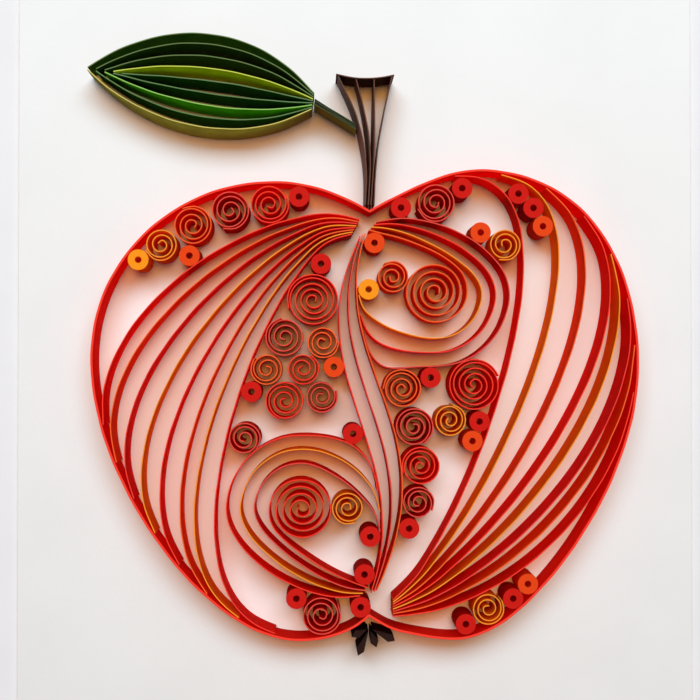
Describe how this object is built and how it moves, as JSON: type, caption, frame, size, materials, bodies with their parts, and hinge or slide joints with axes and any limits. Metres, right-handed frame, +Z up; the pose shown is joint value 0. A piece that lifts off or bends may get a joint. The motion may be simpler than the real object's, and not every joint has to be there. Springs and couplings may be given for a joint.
{
  "type": "quilled paper apple picture",
  "caption": "Portrait white card with an apple, leaf and stem built of coloured paper strips that stand on edge, curled into combs, scrolls, coils and pegs.",
  "frame": {"origin": "middle of the card's back face, which lies on the table", "axes": "+Z up out of the card, +Y towards the picture's top, +X towards its right"},
  "size_m": [0.21, 0.297, 0.0112],
  "materials": {
    "white_card": "matte white mounting card",
    "red_paper": "matte dyed paper",
    "crimson_paper": "matte dyed paper",
    "flame_paper": "matte dyed paper",
    "orange_paper": "matte dyed paper",
    "green_paper": "matte dyed paper",
    "brown_paper": "matte dyed paper"
  },
  "bodies": {
    "root": {"backing_card": "white_card", "base_coil_1": "orange_paper", "base_pegs": "red_paper", "calyx": "brown_paper", "cell_pegs": "red_paper", "crown_coil_1": "orange_paper", "crown_coil_2": "crimson_paper", "crown_pegs": "red_paper", "divider_comb": "red_paper", "foot_coil_1": "crimson_paper", "foot_pegs": "red_paper", "leaf_lower_edge": "green_paper", "leaf_stalk": "green_paper", "leaf_upper_edge": "green_paper", "leaf_veins": "green_paper", "left_coil_1": "red_paper", "left_coil_2": "crimson_paper", "left_coil_3": "flame_paper", "left_coil_4": "red_paper", "left_coil_5": "flame_paper", "left_coil_6": "red_paper", "left_coil_7": "crimson_paper", "left_coil_8": "crimson_paper", "left_comb": "red_paper", "left_pegs": "red_paper", "lower_coil": "orange_paper", "lower_loops": "flame_paper", "lower_pegs": "red_paper", "lower_scroll": "red_paper", "outline_left": "red_paper", "outline_right": "red_paper", "right_coil_1": "red_paper", "right_coil_2": "flame_paper", "right_coil_3": "crimson_paper", "right_coil_4": "orange_paper", "right_coil_5": "red_paper", "right_coil_6": "crimson_paper", "right_comb": "red_paper", "right_pegs": "red_paper", "shoulder_coil_1": "red_paper", "shoulder_coil_2": "crimson_paper", "shoulder_coil_3": "flame_paper", "shoulder_coil_4": "orange_paper", "shoulder_pegs": "orange_paper", "stem_cap": "brown_paper", "stem_left": "brown_paper", "stem_ribs": "brown_paper", "stem_right": "brown_paper", "upper_coil": "flame_paper", "upper_loops": "red_paper", "upper_pegs": "orange_paper", "upper_scroll": "flame_paper"}
  },
  "joints": []
}
